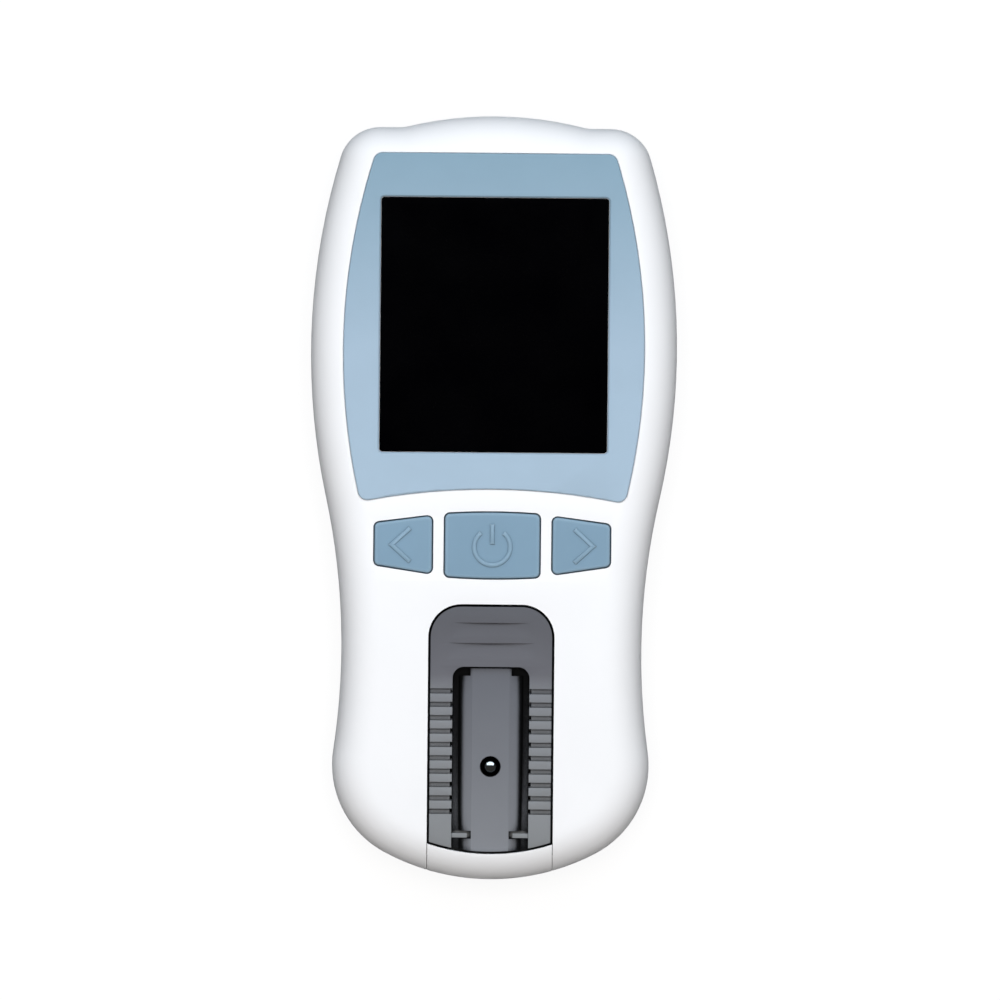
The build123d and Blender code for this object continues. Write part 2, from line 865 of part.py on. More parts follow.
def battery_springs():
    """A coil spring behind the flat end of each cell."""
    springs = Part()
    pitch = (spring_room - spring_wire) / spring_turns
    path = Helix(pitch, pitch * spring_turns, spring_radius)
    coil = sweep(Plane(origin=path @ 0, z_dir=path % 0) * Circle(spring_wire / 2), path=path)
    for x, way in cell_places():
        start = bay_start_y + contact_thickness + spring_wire / 2
        if way < 0:
            start = bay_end_y - contact_thickness - spring_room + spring_wire / 2
        springs += Pos(x, start, cell_z) * Rot(-90, 0, 0) * coil
    return springs


def battery_cover():
    """The cover over the cells, hooked at one end and latched at the other."""
    gap = cover_gap
    wide = 2 * (cover_half_width - gap)
    length = cover_end_y - cover_start_y - 2 * gap
    middle = (cover_start_y + cover_end_y) / 2
    plan = Pos(0, middle) * RectangleRounded(wide, length, cover_corner_radius - gap)
    cover = column(plan, base_z, cover_top_z)
    tab_low = base_z + wall + cover_tab_gap
    tab_high = tab_low + cover_tab_thickness
    root_end = cover_end_y - 2 * gap
    root_start = root_end - cover_tab_root
    for side in (-1, 1):
        x = side * cover_tab_x
        across = (x - cover_tab_width / 2, x + cover_tab_width / 2)
        cover += block(across, (root_start, root_end), (cover_top_z, tab_high))
        cover += block(across, (root_start, cover_end_y + cover_tab_reach), (tab_low, tab_high))
    start = cover_start_y + gap
    for side in (-1, 1):
        x = side * latch_width / 2
        across = (x - latch_slot / 2, x + latch_slot / 2)
        cover -= block(across, (start - 1, start + latch_length), (0, far))
    for index in range(cover_rib_count):
        y = start + latch_length + (index + 1) * cover_rib_pitch
        half = latch_width / 2 - cover_rib_step * index
        cover += Pos(0, y, base_z) * Rot(0, 90, 0) * Cylinder(cover_rib_height, 2 * half)
    return cover


def tray_plan(shrink=0.0):
    """The grey tray from above."""
    return slot_plan(tray_gap + shrink) & case_outline(tray_end_inset + shrink)


def rib_grooves():
    """The cuts between the finger ribs on both rails."""
    cuts = Part()
    for index in range(rib_count):
        y = deck_run(rib_first_y - index * rib_pitch)
        points = [(y, 1), (y, 0), (y - groove_wall_run, -groove_depth)]
        points += [(y - groove_width, -groove_depth), (y - groove_width, 1)]
        section = Plane.YZ * make_face(Polyline(*points, close=True))
        for side in (-1, 1):
            outer = sorted((side * channel_half_width, side * (slot_half_width + 1)))
            inner = sorted((side * (channel_half_width - 1), side * (channel_half_width + groove_setback)))
            cuts += Pos(outer[0], 0, 0) * extrude(section, outer[1] - outer[0], dir=(1, 0, 0))
            cuts += block(inner, (y - groove_width, y), (-groove_reach, 1))
    return on_deck(cuts)


def grip_scoops():
    """Two stepped scoops where a thumb pushes the tray, deepest in the middle."""
    cuts = Part()
    for y, half in zip(grip_lines_y, grip_half_widths):
        run = deck_run(y)
        end = run - grip_run
        points = [(run, 1), (run, 0), (run - grip_wall_run, -grip_depth), (end, 0), (end, 1)]
        section = make_face(Polyline(*points, close=True))
        wedge = extrude(Plane.YZ * section, half, both=True)
        bowl = [ThreePointArc((-half, 0), (0, -grip_depth), (half, 0)), Polyline((half, 0), (half, 1), (-half, 1), (-half, 0))]
        cuts += on_deck(wedge & extrude(Plane.XZ * make_face(bowl), far, both=True))
    return cuts


def strip_tray():
    """The drawer's frame: a rear block, two ribbed rails and the strip guides."""
    tray = column(tray_plan(), tray_bottom_z, far) & outer_form
    floor = slot_plan(tray_gap) & case_outline(slot_end_inset + front_gap)
    tray += column(floor, tray_bottom_z, bed_floor_z)
    channel = Pos(0, (channel_top_y - far) / 2) * Rectangle(2 * channel_half_width, channel_top_y + far)
    channel = fillet(channel.vertices().sort_by(Axis.Y)[-2:], channel_corner_radius)
    tray -= column(channel, bed_floor_z, far)
    tray -= rib_grooves()
    tray -= grip_scoops()
    for side in (-1, 1):
        across = sorted((side * guide_inner_x, side * (channel_half_width + groove_setback)))
        y = deck_run(guide_y)
        low = guide_lift - bed_drop
        hook = block(across, (y - guide_width / 2, y + guide_width / 2), (low, low + guide_thickness))
        tray += on_deck(hook)
    half = relief_half_width
    tray -= block((-half, half), (aperture_y - half, far), (0, relief_ceiling_z))
    return tray


def bed_section():
    """Half of the ridge's outline across the tray, from its flat top to its foot."""
    foot = -far / 4
    edges = [
        Line((0, 0), (bed_flat_half_width, 0)),
        Line((bed_flat_half_width, 0), (bed_shoulder_half_width, -bed_shoulder_drop)),
        Spline(
            (bed_shoulder_half_width, -bed_shoulder_drop),
            (bed_half_width, -bed_flank_drop),
            tangents=[(1, -0.3), (0.05, -1)],
        ),
        Line((bed_half_width, -bed_flank_drop), (bed_half_width, foot)),
        Line((bed_half_width, foot), (0, foot)),
        Line((0, foot), (0, 0)),
    ]
    half = make_face(edges)
    return half + half.mirror(Plane.YZ)


def strip_bed():
    """The ridge that the strip lies on, with its aperture and the slots under the guides."""
    section = Plane.XZ * bed_section()
    start = deck_run(channel_top_y - channel_gap)
    ridge = on_deck(Pos(0, start, -bed_drop) * extrude(section, far, dir=(0, -1, 0)))
    end_cut = column(case_outline(tray_end_inset), 0, far)
    bed = ridge & end_cut & block((-far, far), (-far, channel_top_y - bed_gap), (bed_floor_z, far))
    for side in (-1, 1):
        across = sorted((side * bed_corner_half_width, side * far))
        bed -= block(across, (bed_corner_y, far), (0, far))
    half = channel_half_width - bed_gap
    top = channel_top_y - bed_gap
    plate = Pos(0, (top - far) / 2) * Rectangle(2 * half, top + far)
    plate = fillet(plate.vertices().sort_by(Axis.Y)[-2:], channel_corner_radius)
    bed += column(plate, bed_floor_z, bed_floor_z + bed_floor) & end_cut
    for side in (-1, 1):
        across = sorted((side * guide_slot_inner_x, side * far))
        y = deck_run(guide_y)
        along = (y - guide_slot_width / 2, y + guide_slot_width / 2)
        bed -= on_deck(block(across, along, (-bed_drop - bed_slot_depth, 1)))
    bed -= post(0, aperture_y, 0, far, aperture_diameter)
    half = relief_half_width
    return bed - block((-half, half), (aperture_y - half, far), (0, relief_ceiling_z))


def tray_front():
    """The white end of the drawer, flush with the case."""
    half = slot_half_width - seam_gap
    low = parting_z + front_seam_drop
    front = outer_form & block((-half, half), (-far, guide_y), (low, far))
    front -= column(case_outline(front_wall), 0, tray_bottom_z)
    return front - column(case_outline(slot_end_inset), parting_z, far)


def tray_guide():
    """The fixed channel that the drawer slides in."""
    wide = guide_half_width + guide_wall
    rear = tray_top_y + guide_rear_gap
    low = guide_floor_z
    body = block((-wide, wide), (-far, rear + guide_rear_wall), (low, far))
    inside = block((-guide_half_width, guide_half_width), (-far, rear), (low + guide_floor, far))
    body = (body - inside) & guide_limit
    body -= ring_between(-1, tray_end_inset, low + guide_floor, far)
    for x, y in both_sides([(ear_x, y) for y in ear_rows_y]):
        body += post(x, y, low, low + guide_floor, ear_diameter)
        link = sorted((x, math.copysign(guide_half_width + guide_wall / 2, x)))
        body += block(link, (y - ear_diameter / 2, y + ear_diameter / 2), (low, low + guide_floor))
    for x, y in both_sides([(ear_x, y) for y in ear_rows_y]):
        body -= post(x, y, 0, far, board_screw_diameter + 2 * screw_gap)
    body &= column(case_outline(front_wall + guide_end_gap), low, far)
    return body - post(0, aperture_y, 0, far, barrel_flange_diameter + 2 * barrel_gap)


def reader_board():
    """The small board under the guide that carries the light reader."""
    half = reader_board_half_width
    return block((-half, half), (reader_board_start_y, reader_board_end_y), (reader_z, guide_floor_z))


def reader_barrel():
    """The light baffle that stands on the reader board under the aperture."""
    z = guide_floor_z
    snout_top = z + barrel_flange_height + snout_height
    body = post(0, aperture_y, z, z + barrel_flange_height, barrel_flange_diameter)
    body += post(0, aperture_y, z, snout_top, snout_diameter)
    body -= post(0, aperture_y, 0, far, barrel_bore_diameter)
    body -= post(0, aperture_y, snout_top - lens_rim, far, lens_diameter + 2 * thread_gap)
    chamber = barrel_flange_diameter - 2 * barrel_wall
    return body - post(0, aperture_y, 0, z + barrel_flange_height - barrel_roof, chamber)


def reader_lens():
    """The domed lens in the barrel's mouth."""
    seat = guide_floor_z + barrel_flange_height + snout_height - lens_rim
    radius = (lens_diameter**2 / 4 + lens_dome**2) / (2 * lens_dome)
    disc = post(0, aperture_y, seat, seat + lens_rim, lens_diameter)
    ball = Pos(0, aperture_y, seat + lens_rim + lens_dome - radius) * Sphere(radius)
    return disc + (ball & block((-far, far), (-far, far), (seat + lens_rim, far)))


def reader_lamps():
    """Two lamps and a light sensor on the reader board, inside the barrel's foot."""
    chips = Part()
    for x, half in ((0, sensor_size / 2), (-lamp_x, lamp_size / 2), (lamp_x, lamp_size / 2)):
        along = (aperture_y - sensor_size / 2, aperture_y + sensor_size / 2)
        chips += block((x - half, x + half), along, (guide_floor_z, guide_floor_z + lamp_height))
    return chips


def reader_ribbon():
    """A flat flex from the reader board up to the main board."""
    low = reader_z - ribbon_thickness / 2
    high = board_z - ribbon_thickness / 2
    rise_y = board_start_y + ribbon_overlap / 4
    line = [
        (reader_board_end_y - ribbon_overlap, low),
        (rise_y, low),
        (rise_y + ribbon_rise, high),
        (rise_y + ribbon_rise + ribbon_overlap, high),
    ]
    path = FilletPolyline(*line, radius=ribbon_bend)
    return extrude(Plane.YZ * trace(path, ribbon_thickness), ribbon_width / 2, both=True)


def screw(x, y, head_low, head_diameter, length, diameter):
    """A pan head screw driven upwards, with a cross in its head."""
    body = post(x, y, head_low, head_low + head_thickness, head_diameter)
    body += post(x, y, head_low, head_low + head_thickness + length, diameter)
    reach = head_diameter / 2 - drive_margin
    for half_x, half_y in ((reach, drive_width / 2), (drive_width / 2, reach)):
        cross = (x - half_x, x + half_x), (y - half_y, y + half_y), (head_low, head_low + drive_depth)
        body -= block(*cross)
    return body


def case_screws():
    """The four screws that hold the two halves together."""
    screws = Part()
    low = case_screw_recess_z - head_thickness
    for x, y in both_sides(case_screw_places):
        screws += screw(x, y, low, case_screw_head, case_screw_length, case_screw_diameter)
    return screws


def board_screws():
    """The four screws that hold the main board to the upper half."""
    screws = Part()
    low = board_z - head_thickness
    for x, y in both_sides(board_screw_places):
        screws += screw(x, y, low, board_screw_head, board_screw_length, board_screw_diameter)
    return screws


def guide_screws():
    """The four screws that hold the tray guide down on its posts."""
    screws = Part()
    seat = guide_floor_z + guide_floor
    for x, y in both_sides([(ear_x, y) for y in ear_rows_y]):
        screws += post(x, y, seat, seat + head_thickness, board_screw_head)
        screws += post(x, y, seat - board_screw_length, seat, board_screw_diameter)
    return screws


def rubber_feet():
    """Four round pads in shallow recesses."""
    feet = Part()
    for x, y in both_sides(foot_places):
        pad = post(x, y, 0, base_z + foot_recess, foot_diameter)
        rim = [e for e in pad.edges() if e.center().Z < 0.01]
        feet += fillet(rim, foot_edge_round)
    return feet


def rear_label():
    """The blank plate in its recess on the underside."""
    half = label_half_width - window_gap
    along = (label_y[0] + window_gap, label_y[1] - window_gap)
    return block((-half, half), along, (base_z, base_z + label_thickness))


parts = {
    "top_shell": top_shell(),
    "bottom_shell": bottom_shell(),
    "display_panel": display_panel(),
    "display_window": display_window(),
    "display_gasket": display_gasket(),
    "display_glass": display_glass(),
    "display_backlight": display_backlight(),
    "key_left": key("key_left", chevron_symbol(-1)),
    "key_power": key("key_power", power_symbol()),
    "key_right": key("key_right", chevron_symbol(1)),
    "key_domes": key_domes(),
    "main_board": main_board(),
    "main_processor": under_board(*processor),
    "memory_chip": under_board(*memory),
    "clock_crystal": under_board(*crystal),
    "buzzer": buzzer(),
    "usb_socket": usb_socket(),
    "chip_socket": chip_socket(),
    "code_chip": code_chip(),
    "battery_contacts": battery_contacts(),
    "battery_springs": battery_springs(),
    "battery_cover": battery_cover(),
    "strip_tray": strip_tray(),
    "strip_bed": strip_bed(),
    "tray_front": tray_front(),
    "tray_guide": tray_guide(),
    "reader_board": reader_board(),
    "reader_barrel": reader_barrel(),
    "reader_lens": reader_lens(),
    "reader_lamps": reader_lamps(),
    "reader_ribbon": reader_ribbon(),
    "case_screws": case_screws(),
    "board_screws": board_screws(),
    "guide_screws": guide_screws(),
    "rubber_feet": rubber_feet(),
    "rear_label": rear_label(),
}
for index, name in enumerate(("battery_left", "battery_middle", "battery_right")):
    parts[name] = battery_cell(index)

os.makedirs("parts", exist_ok=True)
for name, shape in parts.items():
    export_step(shape, os.path.join("parts", name + ".step"))
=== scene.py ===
import bpy
import bmesh
import json
import math
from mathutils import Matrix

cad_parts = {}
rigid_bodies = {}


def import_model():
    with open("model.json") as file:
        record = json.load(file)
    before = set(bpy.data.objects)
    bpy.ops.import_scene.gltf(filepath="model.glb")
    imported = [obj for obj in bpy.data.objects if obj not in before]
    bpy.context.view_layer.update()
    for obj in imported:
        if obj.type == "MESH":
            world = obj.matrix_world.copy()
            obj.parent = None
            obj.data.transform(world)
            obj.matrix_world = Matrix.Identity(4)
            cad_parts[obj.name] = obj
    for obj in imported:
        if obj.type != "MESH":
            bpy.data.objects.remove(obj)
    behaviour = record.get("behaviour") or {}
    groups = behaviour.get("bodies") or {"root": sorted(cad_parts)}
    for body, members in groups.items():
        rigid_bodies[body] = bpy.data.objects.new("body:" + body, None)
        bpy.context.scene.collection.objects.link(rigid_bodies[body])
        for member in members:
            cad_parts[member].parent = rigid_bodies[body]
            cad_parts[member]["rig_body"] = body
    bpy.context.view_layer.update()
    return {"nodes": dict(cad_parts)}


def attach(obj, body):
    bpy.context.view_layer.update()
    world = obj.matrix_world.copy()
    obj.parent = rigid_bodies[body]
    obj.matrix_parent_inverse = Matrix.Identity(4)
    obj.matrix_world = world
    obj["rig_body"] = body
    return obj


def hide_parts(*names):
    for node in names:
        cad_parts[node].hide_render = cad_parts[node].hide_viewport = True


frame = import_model()
nodes = frame["nodes"]
collection = bpy.context.scene.collection

MM = 0.001  # metres

# The part of its range from 0 to 1 that a cloudy pattern mostly keeps to
CLOUD_LOW, CLOUD_HIGH = 0.3, 0.7

# How far the roughness of moulded plastic strays each way
GLOSS_SPREAD = 0.05

# How many rays feel for narrow gaps, and how much of its brightness a tone keeps in the shade
# painted into them
GAP_RAYS = 12
GAP_PAINTED_SHADE = 0.03

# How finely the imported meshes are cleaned
MERGE_MM = 0.002
SHORTEST_EDGE_MM = 0.001
FLAT_FOLD_DEGREES = 0.05

# Edges are rounded above these heights: on the case's face, and on the tray's rim, ribs and scoops
CASE_FACE_MM = 21.5
TRAY_RAILS_MM = 20.5

# The studio, in metres and shares of white
FLOOR_REACH = 3.0
FLOOR_TONE = 0.14
FLOOR_GLOW = 0.89
ROOM_TINT = (0.93, 0.97, 1.0, 1)
ROOM_LIGHT = 0.075
WALL_SEEN, CEILING_SEEN = 1.0, 0.03
WALL_TOP, CEILING_START = 0.4, 0.65

# The camera, set to the photograph's frame
PICTURE_PIXELS = 1000
PIXELS_PER_MM = 6.0
SIDEWAYS_PIXELS, UPWARD_PIXELS = 7.3, -2.0
TURN_DEGREES = 0.52
CAMERA_DISTANCE = 2.5
SCALE_HEIGHT_MM = 18
SENSOR_MM = 36
FARTHEST_SEEN = 20


# Colours

BLACK = (0.0, 0.0, 0.0, 1.0)
WHITE = (1, 1, 1, 1)


def linear(red, green, blue):
    """A colour given as it looks on a screen, turned into light."""
    parts = []
    for value in (red, green, blue):
        v = value / 255
        parts.append(v / 12.92 if v <= 0.04045 else ((v + 0.055) / 1.055) ** 2.4)
    return (*parts, 1.0)


def shade(colour, factor):
    """A lighter or darker tone of a colour."""
    return (*(min(c * factor, 1.0) for c in colour[:3]), 1.0)


# Node trees

class Nodes:
    """A node tree while it is being put together."""

    def __init__(self, tree):
        self.tree = tree

    def add(self, kind, **inputs):
        """A node with its inputs linked or set."""
        node = self.tree.nodes.new(kind)
        for name, value in inputs.items():
            self.feed(node.inputs[name.replace("_", " ")], value)
        return node

    def feed(self, socket, value):
        """Links an output to a socket, or sets the socket to a value."""
        if isinstance(value, bpy.types.NodeSocket):
            self.tree.links.new(value, socket)
        else:
            socket.default_value = value

    def combine(self, kind, *inputs):
        """A node that puts its inputs together in order."""
        node = self.tree.nodes.new(kind)
        for socket, value in zip(node.inputs, inputs):
            self.feed(socket, value)
        return node.outputs[0]

    def maths(self, operation, first, second):
        """Two numbers put together by a sum, a product or the like."""
        node = self.add("ShaderNodeMath")
        node.operation = operation
        self.feed(node.inputs[0], first)
        self.feed(node.inputs[1], second)
        return node.outputs[0]

    def between(self, factor, low, high, first=0.0, last=1.0):
        """A number that runs from low to high as a factor goes from first to last."""
        node = self.add(
            "ShaderNodeMapRange",
            Value=factor, From_Min=first, From_Max=last, To_Min=low, To_Max=high,
        )
        return node.outputs["Result"]

    def seen_directly(self, path):
        """1 for the camera, reflections and clear pieces, and 0 for the light that is passed on."""
        seen = self.maths("MAXIMUM", path.outputs["Is Camera Ray"], path.outputs["Is Glossy Ray"])
        return self.maths("MAXIMUM", seen, path.outputs["Is Transmission Ray"])


class Finish(Nodes):
    """One material of the meter, built up from the marks on its surface."""

    def __init__(self, name, metallic=0.0, shine=0.5):
        self.material = bpy.data.materials.new(name)
        self.material.use_nodes = True
        super().__init__(self.material.node_tree)
        self.shader = self.tree.nodes["Principled BSDF"]
        self.shader.inputs["Metallic"].default_value = metallic
        self.shader.inputs["Specular IOR Level"].default_value = shine
        self.place = self.add("ShaderNodeTexCoord").outputs["Object"]

    def noise(self, size_mm, detail=2.0, stretch=(1, 1, 1)):
        """Cloudy marks of about a size, drawn out where they are stretched."""
        place = self.place
        if stretch != (1, 1, 1):
            place = self.add("ShaderNodeMapping", Vector=place, Scale=stretch).outputs["Vector"]
        node = self.add("ShaderNodeTexNoise", Vector=place, Scale=1 / (size_mm * MM), Detail=detail)
        return node.outputs["Fac"]

    def axis(self, letter):
        """The place on the surface along one axis, in metres."""
        return self.add("ShaderNodeSeparateXYZ", Vector=self.place).outputs[letter]

    def open_air(self, reach_mm, depth, inside=False):
        """A factor from 0 in narrow gaps, or on thin edges, to 1 on open faces."""
        node = self.add("ShaderNodeAmbientOcclusion", Distance=reach_mm * MM)
        node.samples = GAP_RAYS
        node.inside = inside
        closed, clear = depth
        return self.between(node.outputs["AO"], 0.0, 1.0, closed, clear)

    def ramp(self, factor, stops):
        """A colour that changes along a factor through its stops."""
        node = self.add("ShaderNodeValToRGB", Fac=factor)
        ramp = node.color_ramp
        while len(ramp.elements) < len(stops):
            ramp.elements.new(0.5)
        for element, (position, colour) in zip(ramp.elements, stops):
            element.position = position
            element.color = colour
        return node.outputs["Color"]

    def cloudy(self, marks, dark, pale):
        """A colour that wanders between two tones."""
        return self.ramp(marks, [(CLOUD_LOW, dark), (CLOUD_HIGH, pale)])

    def mix(self, factor, first, second):
        """Two colours mixed by a factor."""
        node = self.add("ShaderNodeMix")
        node.data_type = "RGBA"
        factor_socket, first_socket, second_socket = node.inputs[0], node.inputs[6], node.inputs[7]
        self.feed(factor_socket, factor)
        self.feed(first_socket, first)
        self.feed(second_socket, second)
        return node.outputs[2]

    def colour(self, value):
        """The surface's colour."""
        self.feed(self.shader.inputs["Base Color"], value)

    def gloss(self, marks, low, high):
        """Uneven gloss: a roughness that wanders between two values."""
        roughness = self.between(marks, low, high, CLOUD_LOW, CLOUD_HIGH)
        self.feed(self.shader.inputs["Roughness"], roughness)

    def bump(self, height, depth_mm, strength=1.0):
        """Fine relief in the surface."""
        node = self.add("ShaderNodeBump", Height=height, Strength=strength, Distance=depth_mm * MM)
        self.feed(self.shader.inputs["Normal"], node.outputs["Normal"])


# Moulded plastic and rubber

def moulded(name, tone, roughness, grain_mm, grain_depth_mm, vary, shine=0.5):
    """Moulded plastic: cloudy tone, spark-eroded grain and uneven gloss."""
    finish = Finish(name, shine=shine)
    clouds = finish.noise(size_mm=9, detail=3.0)
    finish.colour(finish.cloudy(clouds, shade(tone, 1 - vary), shade(tone, 1 + vary)))
    finish.gloss(finish.noise(size_mm=3.5), roughness - GLOSS_SPREAD, roughness + GLOSS_SPREAD)
    finish.bump(finish.noise(grain_mm), grain_depth_mm)
    return finish


def graded(name, stops, start_mm, end_mm, roughness, vary=0.03, shine=0.3, gaps=None):
    """Moulded plastic with painted shade: its tone darkens slowly along the meter, and narrow gaps
    are darkened and lose their reflection.
    """
    finish = Finish(name, shine=shine)
    # Painted shade: the tone ramps darker along the meter, as it falls under the lamps
    along = finish.between(finish.axis("Y"), 0.0, 1.0, start_mm * MM, end_mm * MM)
    base = finish.ramp(along, stops)
    clouds = finish.between(finish.noise(size_mm=7, detail=3.0), 0.0, 1.0, CLOUD_LOW, CLOUD_HIGH)
    tone = finish.mix(clouds, finish.mix(vary, base, BLACK), base)
    if gaps:
        # Painted shade: narrow gaps turn nearly black and their reflection is switched off
        clear = finish.open_air(*gaps)
        tone = finish.mix(clear, shade(stops[0][1], GAP_PAINTED_SHADE), tone)
        finish.feed(finish.shader.inputs["Specular IOR Level"], finish.between(clear, 0.0, shine))
    finish.colour(tone)
    finish.gloss(finish.noise(size_mm=3.0), roughness - GLOSS_SPREAD, roughness + GLOSS_SPREAD)
    finish.bump(finish.noise(size_mm=0.22), depth_mm=0.005)
    return finish


def key_finish():
    """Soft rubber keys with painted highlights on their thin edges and ridges, and painted shade at
    their feet.
    """
    tone = linear(129, 159, 180)
    # A painted highlight tone for the thin edges and ridges, and a painted shade tone for their
    # feet
    painted_edge_highlight, painted_foot_shade = linear(172, 199, 214), shade(tone, 0.45)
    finish = Finish("key_blue_rubber", shine=0.4)
    clouds = finish.noise(size_mm=9, detail=3.0)
    base = finish.cloudy(clouds, shade(tone, 0.97), shade(tone, 1.03))
    # Painted highlight: thin edges and ridges are made paler
    edge_highlight_mask = finish.open_air(reach_mm=0.5, depth=(0.55, 0.98), inside=True)
    # Painted shade: the feet of the ridges and the gap round each key are darkened
    clear = finish.open_air(reach_mm=0.7, depth=(0.2, 1.0))
    finish.colour(finish.mix(clear, painted_foot_shade, finish.mix(edge_highlight_mask, painted_edge_highlight, base)))
    finish.gloss(finish.noise(size_mm=3.5), 0.35, 0.45)
    finish.bump(finish.noise(size_mm=0.18), depth_mm=0.003)
    return finish


case_white = moulded(
    "case_white_abs", linear(250, 251, 252),
    roughness=0.5, grain_mm=0.3, grain_depth_mm=0.004, vary=0.008, shine=0.08,
)
# Painted shade: the panel's stops run darker towards its top end
panel_blue = graded(
    "panel_blue_satin",
    [
        (0.0, linear(172, 195, 213)),
        (0.45, linear(168, 191, 209)),
        (1.0, linear(136, 166, 184)),
    ],
    start_mm=-2, end_mm=58, roughness=0.4,
)
key_blue = key_finish()
# Painted shade: the tray's stops run darker towards its inner end, and its narrow gaps are darkened
tray_grey = graded(
    "tray_grey_abs",
    [
        (0.0, linear(138, 141, 143)),
        (0.55, linear(136, 139, 143)),
        (0.67, linear(128, 131, 136)),
        (0.73, linear(108, 109, 115)),
        (1.0, linear(92, 93, 98)),
    ],
    start_mm=-60, end_mm=-18, roughness=0.5, vary=0.04, gaps=(0.9, (0.35, 0.85)),
)
# Painted shade: the bed's stops run darker towards its inner end, and its narrow gaps are darkened
bed_grey = graded(
    "bed_grey_abs",
    [
        (0.0, linear(134, 137, 142)),
        (1.0, linear(106, 109, 116)),
    ],
    start_mm=-60, end_mm=-28, roughness=0.45, gaps=(4.5, (0.42, 0.76)),
)
guide_black = moulded(
    "guide_black_abs", linear(22, 22, 24),
    roughness=0.5, grain_mm=0.25, grain_depth_mm=0.008, vary=0.1,
)
socket_black = moulded(
    "socket_black_nylon", linear(26, 26, 28),
    roughness=0.48, grain_mm=0.2, grain_depth_mm=0.006, vary=0.1,
)
chip_grey = moulded(
    "chip_blue_grey_abs", linear(112, 140, 160),
    roughness=0.4, grain_mm=0.2, grain_depth_mm=0.005, vary=0.04,
)
rubber_grey = moulded(
    "foot_grey_rubber", linear(96, 98, 100),
    roughness=0.75, grain_mm=0.3, grain_depth_mm=0.012, vary=0.08, shine=0.3,
)
foam_black = moulded(
    "gasket_foam", linear(38, 38, 40),
    roughness=0.9, grain_mm=0.35, grain_depth_mm=0.03, vary=0.2, shine=0.2,
)
package_black = moulded(
    "package_epoxy", linear(30, 30, 32),
    roughness=0.5, grain_mm=0.12, grain_depth_mm=0.006, vary=0.08,
)


# Glass and clear plastic

def window_finish():
    """Black display glass with unevenly polished patches."""
    finish = Finish("window_black_glass", shine=0.03)
    finish.colour(finish.cloudy(finish.noise(size_mm=12), linear(1, 1, 2), linear(3, 3, 4)))
    finish.gloss(finish.noise(size_mm=5, detail=3.0), 0.05, 0.12)
    return finish


def lens_finish():
    """Optical glass with a mirror-like coating."""
    finish = Finish("lens_coated_glass", metallic=1.0)
    clouds = finish.noise(size_mm=1.2)
    finish.colour(finish.cloudy(clouds, linear(214, 218, 214), linear(226, 229, 228)))
    finish.gloss(finish.noise(size_mm=0.8), 0.04, 0.09)
    return finish


def clear_finish(name, tone, roughness):
    """Clear or milky plastic over a lamp or behind the display."""
    finish = Finish(name)
    finish.colour(finish.cloudy(finish.noise(size_mm=2), shade(tone, 0.95), tone))
    finish.gloss(finish.noise(size_mm=1), roughness - 0.04, roughness + 0.05)
    return finish


window_black = window_finish()
lens_glass = lens_finish()
display_glass = clear_finish("display_module_glass", linear(40, 44, 48), roughness=0.1)
backlight_white = clear_finish("backlight_white", linear(232, 234, 230), roughness=0.5)
lamp_clear = clear_finish("lamp_clear_epoxy", linear(236, 226, 176), roughness=0.15)


# Metal

def metal(name, tone, roughness, brushed=(1, 1, 1), vary=0.06):
    """Sheet or turned metal with fine drawing marks."""
    finish = Finish(name, metallic=1.0)
    clouds = finish.noise(size_mm=1.5, detail=3.0, stretch=brushed)
    finish.colour(finish.cloudy(clouds, shade(tone, 1 - vary), shade(tone, 1 + vary)))
    finish.gloss(finish.noise(size_mm=0.4, stretch=brushed), roughness - 0.06, roughness + 0.08)
    finish.bump(finish.noise(size_mm=0.15, stretch=brushed), depth_mm=0.003)
    return finish


steel = metal("zinc_plated_steel", linear(190, 192, 196), roughness=0.3)
nickel = metal("nickel_sheet", linear(206, 203, 194), roughness=0.26, brushed=(1, 8, 1))
dome_steel = metal("dome_steel", linear(200, 200, 202), roughness=0.22)
crystal_can = metal("crystal_can", linear(196, 198, 200), roughness=0.3, brushed=(1, 6, 1))
label_silver = metal(
    "label_silver_foil", linear(214, 216, 218), roughness=0.42, brushed=(10, 1, 1), vary=0.03
)


# Boards, flex and cells

def board_finish():
    """Green circuit board: fibre weave, copper tracks under the mask and scattered pads."""
    weave_mm, track_mm, pad_spacing_mm = 2.4, 4.0, 2.1
    pad_edge = (0.13, 0.16)
    finish = Finish("board_green_mask")
    weave = finish.add(
        "ShaderNodeTexWave", Vector=finish.place, Scale=1 / (weave_mm * MM), Distortion=0.3
    )
    fibres = finish.between(weave.outputs["Fac"], 0.0, 0.25)
    base = finish.mix(fibres, linear(22, 84, 52), linear(16, 66, 42))
    tracks = finish.add(
        "ShaderNodeTexBrick", Vector=finish.place, Scale=1 / (track_mm * MM),
        Mortar_Size=0.035, Mortar_Smooth=0.1,
    )
    tracks.offset = 0.37
    tracks.squash = 1.4
    line = tracks.outputs["Fac"]
    base = finish.mix(line, base, linear(54, 128, 84))
    dots = finish.add("ShaderNodeTexVoronoi", Vector=finish.place, Scale=1 / (pad_spacing_mm * MM))
    pads = finish.between(dots.outputs["Distance"], 1.0, 0.0, *pad_edge)
    finish.colour(finish.mix(pads, base, linear(206, 184, 120)))
    finish.bump(line, depth_mm=0.03, strength=0.6)
    finish.gloss(finish.noise(size_mm=2), 0.25, 0.38)
    return finish


